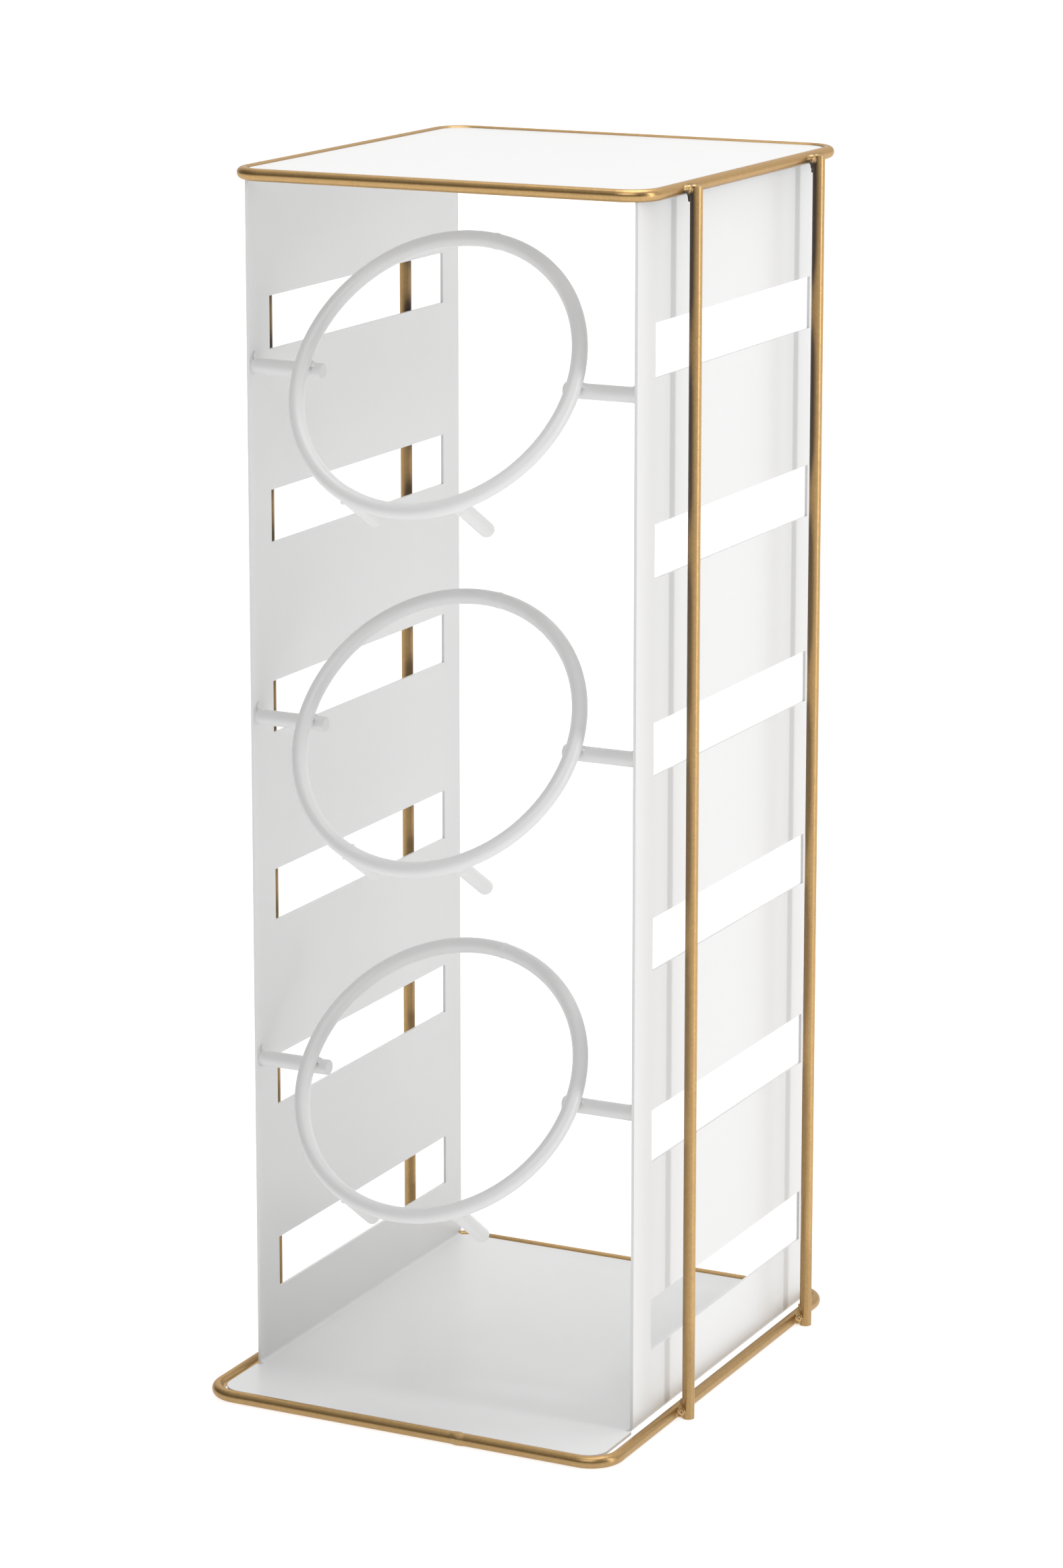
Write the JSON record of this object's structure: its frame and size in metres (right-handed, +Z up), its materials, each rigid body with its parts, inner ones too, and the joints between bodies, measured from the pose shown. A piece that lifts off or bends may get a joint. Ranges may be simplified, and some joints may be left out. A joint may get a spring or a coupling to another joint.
{
  "type": "ring storage rack",
  "caption": "Tall free-standing rack: slotted white sheet walls and plates in a gold wire cage, with tilted rod rings one above another, each on side arms with pins behind its lower edge",
  "frame": {"origin": "On the floor, midway along the width and the depth of the whole rack", "axes": "+X to the right and +Y to the back, seen from the open front; +Z up"},
  "size_m": [0.195, 0.2288, 0.5],
  "materials": {
    "gold_wire": "satin metallic bronze-gold paint with a fine grain",
    "gold_weld": "the same gold paint over smooth weld beads, glossier",
    "white_sheet": "semi-gloss white powder coat on steel sheet",
    "white_rod": "semi-gloss white powder coat on round steel rod",
    "white_weld": "white powder coat over weld beads"
  },
  "bodies": {
    "root": {"base_frame": "gold_wire", "top_frame": "gold_wire", "upright_front_left": "gold_wire", "upright_front_right": "gold_wire", "upright_rear_left": "gold_wire", "upright_rear_right": "gold_wire", "base_joint_welds": "gold_weld", "top_joint_welds": "gold_weld", "base_plate": "white_sheet", "left_wall": "white_sheet", "right_wall": "white_sheet", "top_plate": "white_sheet", "base_plate_tacks": "white_weld", "top_plate_tacks": "white_weld", "top_ring": "white_rod", "top_arm_left": "white_rod", "top_arm_right": "white_rod", "top_pin_left": "white_rod", "top_pin_right": "white_rod", "middle_ring": "white_rod", "middle_arm_left": "white_rod", "middle_arm_right": "white_rod", "middle_pin_left": "white_rod", "middle_pin_right": "white_rod", "bottom_ring": "white_rod", "bottom_arm_left": "white_rod", "bottom_arm_right": "white_rod", "bottom_pin_left": "white_rod", "bottom_pin_right": "white_rod", "arm_wall_welds": "white_weld", "arm_ring_welds": "white_weld", "pin_ring_welds": "white_weld"}
  },
  "joints": []
}
